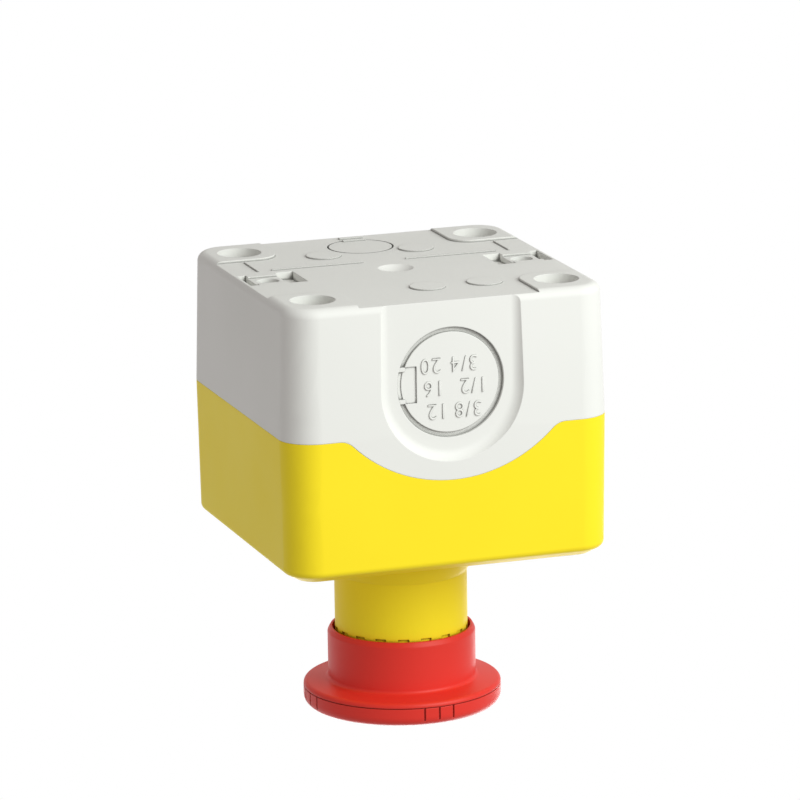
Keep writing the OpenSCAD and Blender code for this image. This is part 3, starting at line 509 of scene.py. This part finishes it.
# %% [markdown]
# The screws pull the real shells together until no gap shows, so the cover's edge comes down by
# most of the tenth. Its points are found by their distance from the edge's line, blend and arc.

# %% Close the joint
CLOSED = 0.08
ON_EDGE = 0.006             # a point this near the edge is on it
BESIDE = 0.01


def from_edge(x, z):
    """Distance of a point of a wall from the edge of the cover."""
    distances = [abs(math.hypot(x, z - ARC_Z) - ARC_R - JOINT_GAP)]
    if x > blend_x - BESIDE:
        distances.append(abs(z - JOINT_Z - JOINT_GAP))
    if x < blend_x:
        distances.append(abs(math.hypot(x - blend_x, z - blend_z) - BLEND + JOINT_GAP))
    return min(distances)


lowered = 0
for point in cover_mesh.vertices:
    if from_edge(abs(point.co.x) / MM, point.co.z / MM) < ON_EDGE:
        point.co.z -= CLOSED * MM
        lowered += 1
print("lowered", lowered, "points of the cover's edge")
stand_in("moulded_cover", cover_mesh, "cover", "enclosure")

# %% [markdown]
# ### Knock-outs
# The disc of a side knock-out is set back, with a wide groove round it, which one turned tool
# cuts. The pry notch, where a screwdriver lifts the disc out, has a floor above the groove's and
# a small step at both ends. The disc in the back is flush, so its pocket in the CAD is filled.

# %% Work the knock-outs
ENTRY_Z = 17.0              # height of the side entries' axis
RECESS_FACE = 32.45         # depths along the place's Z
DISC_FACE = 32.15
STEP_TOP = 32.03
PRY_FLOOR = 31.8
GROOVE_FLOOR = 31.6
DISC_R = 10.1
GROOVE_R = 11.15
PRY_X = (6.9, 10.5)         # across, from the axis
PRY_HALF = 3.75             # half the notch's length along the wall's height
STEP_X = (9.25, 10.9)
STEP_LOWS = (-3.7, 2.8)     # where each step begins, from the axis
STEP_LONG = 0.9
OVER = 0.2                  # how far a tool passes the surface that it works
ROOTED = 0.05               # how far a piece that is joined reaches into the base
PLATE_Z = 0.5               # the back's plate; the corner pads are at zero
BACK_ENTRY = (0.0, 22.4)
BACK_DISC_R = 6.47
BACK_DISC_TOP = 1.5
HAIR = 0.005                # keeps two faces from lying in one plane

disc = [(0, DISC_FACE), (DISC_R, DISC_FACE), (DISC_R, GROOVE_FLOOR), (GROOVE_R, GROOVE_FLOOR),
        (GROOVE_R, RECESS_FACE + OVER), (0, RECESS_FACE + OVER)]
discs = [turned(disc, (0.0, ENTRY_Z), face) for face in entry_faces]
pry_floors = [block(*PRY_X, ENTRY_Z - PRY_HALF, ENTRY_Z + PRY_HALF,
                    GROOVE_FLOOR - ROOTED, PRY_FLOOR, face)
              for face in entry_faces]
pry_steps = [block(*STEP_X, ENTRY_Z + z, ENTRY_Z + z + STEP_LONG,
                   GROOVE_FLOOR - ROOTED, STEP_TOP, face)
             for face in entry_faces for z in STEP_LOWS]
back_disc = turned([(0, PLATE_Z - HAIR), (BACK_DISC_R, PLATE_Z - HAIR),
                    (BACK_DISC_R, BACK_DISC_TOP), (0, BACK_DISC_TOP)], BACK_ENTRY)
print("side discs are set back", round(RECESS_FACE - DISC_FACE, 2), "mm")

# %% [markdown]
# ### Pockets of the back
# A slot lies inward of each mounting hole and a notch outward of it, at the edge. A shallow
# channel runs past the hole and joins them. The middle of the back has a round dimple: a cap of a
# sphere, which is a turned solid too.

# %% Cut the pockets
BELOW = -1                  # tools start under the mounting face
DIMPLE_R = 3.6
DIMPLE_D = 1.2


def pockets(x_from, x_to, half_width, depth):
    """Tools for the same pocket on both sides of the back."""
    return [block(side * x_from, side * x_to, -half_width, half_width, BELOW, PLATE_Z + depth)
            for side in (-1, 1)]


slots = pockets(x_from=20.2, x_to=24.0, half_width=5.0, depth=1.6)
notches = pockets(x_from=30.2, x_to=32.02, half_width=4.7, depth=1.6)
channels = pockets(x_from=22.1, x_to=31.1, half_width=3.3, depth=0.4)

dome_r = (DIMPLE_R ** 2 + DIMPLE_D ** 2) / (2 * DIMPLE_D)
dome_z = PLATE_Z + DIMPLE_D - dome_r
dome = [(dome_r * math.sin(math.radians(a)), dome_z + dome_r * math.cos(math.radians(a)))
        for a in range(0, 48, 4)]
dimple = turned(dome + [(0, dome[-1][1])])
print("the dimple is a cap of a sphere with a radius of", round(dome_r, 2), "mm")

# %% [markdown]
# ### Raised marks of the back
# Two bars stand at the round knock-out. The inner one ends at its rim, so its outline has an arc.
# The thin ribs on the plate are a little short in the CAD, and each gets the end that it lacks.
# All of these marks are 0.3 mm high, as the ribs are.

# %% Raise the marks
MARK_Z = 0.2                # face of a mark, between the mounting face and the plate
BAR_X = (-3.1, 1.9)
INNER_BAR_Y = 27.7
OUTER_BAR_Y = (30.0, 31.1)
BAR_RIM = 6.4               # radius of the arc round the back entry
ARC_XS = (1.9, 1.0, 0.0, -1.0, -2.0, -3.1)
RIB_ENDS = [(4.5, 5.1, 7.0, 7.4), (26.6, 27.0, 7.0, 8.1)]


def mark(x0, x1, y0, y1):
    """A raised rectangle on the back."""
    return block(x0, x1, y0, y1, MARK_Z, PLATE_Z + OVER)


inner_bar = [(x, INNER_BAR_Y) for x in BAR_X]
inner_bar += [(x, BACK_ENTRY[1] + math.sqrt(BAR_RIM ** 2 - x ** 2)) for x in ARC_XS]
bars = [prism(inner_bar, MARK_Z, PLATE_Z + OVER), mark(*BAR_X, *OUTER_BAR_Y)]
ribs = [mark(side * x0, side * x1, y0, y1) for x0, x1, y0, y1 in RIB_ENDS for side in (-1, 1)]
print("bars and ribs:", len(bars) + len(ribs))

# %% [markdown]
# The tools are used in four steps, because one operation's tools may not undo another's: fill,
# cut deep, cut shallow, and add what stands in a cut.

# %% Work the base
base_mesh = reshaped("base_housing", [
    ("UNION", filled + [back_disc] + pry_floors),
    ("DIFFERENCE", discs + slots + notches + [dimple]),
    ("DIFFERENCE", channels),
    ("UNION", bars + ribs + pry_steps),
])
stand_in("moulded_base", base_mesh, "base_housing", "enclosure")

# %% [markdown]
# ### Sleeve
# Eighteen splines lie round the sleeve, with a notch between each two. They start a little closer
# to the skirt's mouth than in the CAD, so the foot of every notch is filled.

# %% Fill the notches' feet
SLEEVE_R = 13.55
NOTCHES = 18
NOTCH_FLOOR = 12.8          # where a filling begins, inside the wall
NOTCH_HALF = 1.18           # half its width
FOOT_LOW, FOOT_HIGH = 74.0, 74.5
FIRST_NOTCH = math.radians(-93)         # its place round the sleeve, counted from +X

arc = [(SLEEVE_R * math.cos(math.radians(a)), SLEEVE_R * math.sin(math.radians(a)))
       for a in (-5, -3, -1, 1, 3, 5)]
notch = [(NOTCH_FLOOR, -NOTCH_HALF)] + arc + [(NOTCH_FLOOR, NOTCH_HALF)]
feet = [prism(notch, FOOT_LOW, FOOT_HIGH,
              Matrix.Rotation(FIRST_NOTCH + 2 * math.pi * i / NOTCHES, 4, "Z"))
        for i in range(NOTCHES)]
sleeve_mesh = reshaped("bezel_sleeve", [("UNION", feet)])
print("filled", len(feet), "notches")
stand_in("moulded_sleeve", sleeve_mesh, "bezel_sleeve", "enclosure")

# %% [markdown]
# ### Skirt
# The mushroom's flange is a little thicker than in the CAD, with a fuller rounding at its rim and
# a small one where it meets the skirt. Skirt and flange together are one turned ring, from the
# bevelled mouth to the seam under the cap.

# %% Turn the skirt
SKIRT_IN = 14.1
SKIRT_R = 15.1
SKIRT_Z = 74.85
MOUTH = 0.45                # width of the mouth's flat face
BEVEL = [(0.11, 0.77), (0.0, 1.1)]      # from the outer radius, and up from the mouth
SEAM_Z = 87.0
RIM_R = 20.2
RIM_Z = 86.0
RIM_ROUND = 0.9
FOOT_Z = 85.55              # underside of the flange
ROOT_R = 0.8                # rounding between skirt and flange

bends = [math.radians(a) for a in range(0, 91, 15)]
skirt = [(SKIRT_IN, SKIRT_Z), (SKIRT_IN + MOUTH, SKIRT_Z)]
skirt += [(SKIRT_R - inward, SKIRT_Z + up) for inward, up in BEVEL]
skirt += [(SKIRT_R + ROOT_R * (1 - math.cos(a)), FOOT_Z - ROOT_R * (1 - math.sin(a))) for a in bends]
skirt += [(RIM_R - RIM_ROUND * (1 - math.sin(a)), RIM_Z + RIM_ROUND * (1 - math.cos(a))) for a in bends]
skirt += [(RIM_R, SEAM_Z), (SKIRT_IN, SEAM_Z)]
skirt_mesh = closed_mesh("moulded_skirt", [turned(skirt, steps=180)])
print("the skirt's profile has", len(skirt), "points")
stand_in("moulded_skirt", skirt_mesh, "mushroom_skirt", "mushroom")

# %% [markdown]
# ## Springs
# A coil spring rests on one piece and is pushed by another, so it can follow neither of them. Three
# springs shorten when the button is pushed: the return spring and the one under each contact
# plunger. A copy stands for each of these CAD springs and rides on the enclosure.

# %% Copy the springs
for node, name in (("return_spring", "return_coil"), ("nc_spring", "nc_coil"), ("no_spring", "no_coil")):
    coil = bpy.data.objects.new(name, frame["nodes"][node].data.copy())
    bpy.context.scene.collection.objects.link(coil)
    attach(coil, "enclosure")
    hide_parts(node)
    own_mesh(coil)

# %% [markdown]
# ## Raised sizes on the knock-outs
# A mould maker cuts the sizes of the hole into the mould of each knock-out disc, so they stand a
# quarter of a millimetre proud of the moulding. Plain numbers do here: a fraction of an inch and
# the millimetres beside it, in three rows.
#
# Lettering could be drawn as bump in the material, but then it has no edge that catches the
# light. Here each number is set with Blender's own font, given a thickness and a small bevel, and
# turned into mesh.

# %% Set a raised number
RAISED = 0.24               # how far the digits stand proud of the disc
DIGIT_HEIGHT = 3.1
NARROW = 0.92               # the digits' width, as a share of the font's
SPACING = 1.12
LIGHTER = -0.02             # thins the strokes; this and the next two are shares of the font's size
THICK = 0.09
STROKE_BEVEL = 0.014


def raised_number(mesh, text, face, across, up):
    """Adds one number to a bmesh, centred across and up in the plane of an entry's face."""
    line = bpy.data.curves.new("number", "FONT")
    line.body = text
    line.size = 1.0
    line.space_character = SPACING
    line.offset = LIGHTER
    line.extrude = THICK
    line.bevel_depth = STROKE_BEVEL
    line.bevel_resolution = 1
    holder = bpy.data.objects.new("number", line)
    bpy.context.scene.collection.objects.link(holder)
    shape = bpy.data.meshes.new_from_object(holder.evaluated_get(bpy.context.evaluated_depsgraph_get()))
    xs = [v.co.x for v in shape.vertices]
    ys = [v.co.y for v in shape.vertices]
    top = max(v.co.z for v in shape.vertices)
    scale = DIGIT_HEIGHT / (max(ys) - min(ys))
    middle = Vector(((max(xs) + min(xs)) / 2, (max(ys) + min(ys)) / 2, top))
    squeeze = Matrix.Diagonal((scale * NARROW, scale, scale, 1.0))
    place = Matrix.Translation((across, up, DISC_FACE + RAISED))
    shape.transform(Matrix.Scale(MM, 4) @ face @ place @ squeeze @ Matrix.Translation(-middle))
    mesh.from_mesh(shape)
    bpy.data.objects.remove(holder)
    bpy.data.curves.remove(line)
    bpy.data.meshes.remove(shape)


print("digits are", DIGIT_HEIGHT, "mm high and stand", RAISED, "mm proud")

# %% [markdown]
# A row holds the size in inches and its distance across from the axis, the size in millimetres
# and its distance, and how far both stand above the mounting face. All numbers of one disc make
# one piece.

# %% Raise the sizes
SIZE_ROWS = [
    ("3/4", -2.9, "20", 4.0, 13.5),
    ("1/2", -4.6, "16", 3.7, 18.1),
    ("3/8", -3.7, "12", 3.0, 22.8),
]
for side, face in zip(("lower", "upper"), entry_faces):
    numbers = bmesh.new()
    for inch, inch_x, metric, metric_x, row_z in SIZE_ROWS:
        raised_number(numbers, inch, face, inch_x, row_z)
        raised_number(numbers, metric, face, metric_x, row_z)
    shape = bpy.data.meshes.new("knockout_sizes_" + side)
    numbers.to_mesh(shape)
    numbers.free()
    piece = bpy.data.objects.new("knockout_sizes_" + side, shape)
    bpy.context.scene.collection.objects.link(piece)
    shape.materials.append(pale_grey_abs)
    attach(piece, "enclosure")
    print(piece.name, "has", len(shape.polygons), "faces")

# %% [markdown]
# ## Light
# The photograph is lit by one large soft source, low in front and a little towards -X, and by an
# even pale surround. The lamp stands close, so the near edge of a wall is brighter than its far
# edge, and it is nearly as wide as it is far, so no shadow has a hard edge. A second, weaker lamp
# stands high behind, for the faces that this photograph doesn't show.

# %% Light the station
MIDDLE_Z = 45               # about half the station's height, where the lamps are aimed


def softbox(name, azimuth, elevation, distance, size, strength, colour):
    """Square lamp aimed at the station. strength 1 lights a facing surface as a white world does."""
    lamp = bpy.data.lights.new(name, "AREA")
    lamp.shape = "SQUARE"
    lamp.size = size
    lamp.color = colour
    lamp.energy = strength * math.pi ** 2 * distance ** 2
    holder = bpy.data.objects.new(name, lamp)
    bpy.context.scene.collection.objects.link(holder)
    a, e = math.radians(azimuth), math.radians(elevation)
    away = Vector((math.sin(a) * math.cos(e), -math.cos(a) * math.cos(e), math.sin(e)))
    holder.location = Vector((0, 0, MIDDLE_Z * MM)) + distance * away
    holder.rotation_euler = away.to_track_quat("Z", "Y").to_euler()
    holder.visible_camera = False
    print(name, "stands", distance, "m away")


softbox("key_softbox", azimuth=-32, elevation=-30, distance=0.68, size=0.5, strength=0.95,
        colour=(0.96, 1.0, 0.985))
softbox("far_softbox", azimuth=-150, elevation=38, distance=1.2, size=0.9, strength=0.55,
        colour=(1.0, 1.0, 1.0))

# %% [markdown]
# The surround does two things. To the camera, to gloss and to glass it is plain white. To matte
# surfaces it gives a lower, slightly warm light, as a white table in a warm room would.

# %% Put the station in a white surround
SURROUND = (0.45, 0.430, 0.425, 1.0)
world = bpy.data.worlds.new("white_surround")
bpy.context.scene.world = world
world.use_nodes = True
tree = world.node_tree
tree.nodes.clear()
path = add(tree, "ShaderNodeLightPath")
seen = add(tree, "ShaderNodeMath", {0: path.outputs["Is Camera Ray"], 1: path.outputs["Is Glossy Ray"]},
           operation="MAXIMUM")
seen = add(tree, "ShaderNodeMath", {0: seen.outputs[0], 1: path.outputs["Is Transmission Ray"]},
           operation="MAXIMUM")
glow = add(tree, "ShaderNodeMix", {0: seen.outputs[0], 6: SURROUND, 7: (1.0, 1.0, 1.0, 1.0)},
           data_type="RGBA")
surround = add(tree, "ShaderNodeBackground", {"Color": glow.outputs[2], "Strength": 1.0})
sky = tree.nodes.new("ShaderNodeOutputWorld")
tree.links.new(surround.outputs["Background"], sky.inputs["Surface"])
print("lit by two softboxes and a surround of", SURROUND[:3])

# %% [markdown]
# ## Floor
# The station stands on its back, and the photograph looks at that back from below. The floor is
# therefore one-sided: from above it is a plain pale sheet that takes the station's shadow, and
# from below it is clear. It lies a hair under the pads, lets the low lamp through and throws no
# light back.

# %% Lay the floor
FLOOR_SIZE = 6.0
FLOOR_DROP = 0.3
floor_mesh = bpy.data.meshes.new("floor")
edge = FLOOR_SIZE / 2
floor_mesh.from_pydata([(-edge, -edge, 0), (edge, -edge, 0), (edge, edge, 0), (-edge, edge, 0)],
                       [], [(0, 1, 2, 3)])
floor = bpy.data.objects.new("floor", floor_mesh)
floor.location.z = -FLOOR_DROP * MM
bpy.context.scene.collection.objects.link(floor)
floor.visible_shadow = False
floor.visible_diffuse = False

pale_sheet, tree, output = new_material("pale_floor_sheet")
side = add(tree, "ShaderNodeNewGeometry")
matte = add(tree, "ShaderNodeBsdfDiffuse", {"Color": linear("F4F4F2")})
clear = add(tree, "ShaderNodeBsdfTransparent")
sheet = add(tree, "ShaderNodeMixShader",
            {0: side.outputs["Backfacing"], 1: matte.outputs["BSDF"], 2: clear.outputs["BSDF"]})
tree.links.new(sheet.outputs["Shader"], output.inputs["Surface"])
floor_mesh.materials.append(pale_sheet)
print("floor laid at", round(floor.location.z / MM, 2), "mm")

# %% [markdown]
# ## Camera
# The photograph's camera was found by fitting a pinhole camera to the enclosure's edges. It
# stands about 1.14 m away, 19 degrees round from the front entry towards +X and 14 degrees
# below the horizon, behind a long lens. The picture is upside down, so the camera is rolled by
# half a turn.

# %% Place the camera
CAMERA_AT = Vector((359.2, -1058.2, -241.2)) * MM
LOOK = Vector((-0.31287, 0.92050, 0.23409))
UP = Vector((-0.08991, 0.21665, -0.97210))
FOCAL_MM = 255.6
SENSOR_MM = 36.0

lens = bpy.data.cameras.new("camera")
lens.sensor_width = SENSOR_MM
lens.lens = FOCAL_MM
lens.clip_start = 0.1
lens.clip_end = 20.0
camera = bpy.data.objects.new("camera", lens)
bpy.context.scene.collection.objects.link(camera)
back = -LOOK.normalized()
right = UP.cross(back).normalized()
top = back.cross(right)
turn = Matrix((right, top, back)).transposed().to_4x4()
camera.matrix_world = Matrix.Translation(CAMERA_AT) @ turn
bpy.context.scene.camera = camera
print("camera is", round(CAMERA_AT.length, 3), "m from the mounting face")

# %% [markdown]
# ## Finish
# The view transform is Standard, so a colour renders as it is written.

# %% Set the view transform
bpy.context.scene.view_settings.view_transform = "Standard"
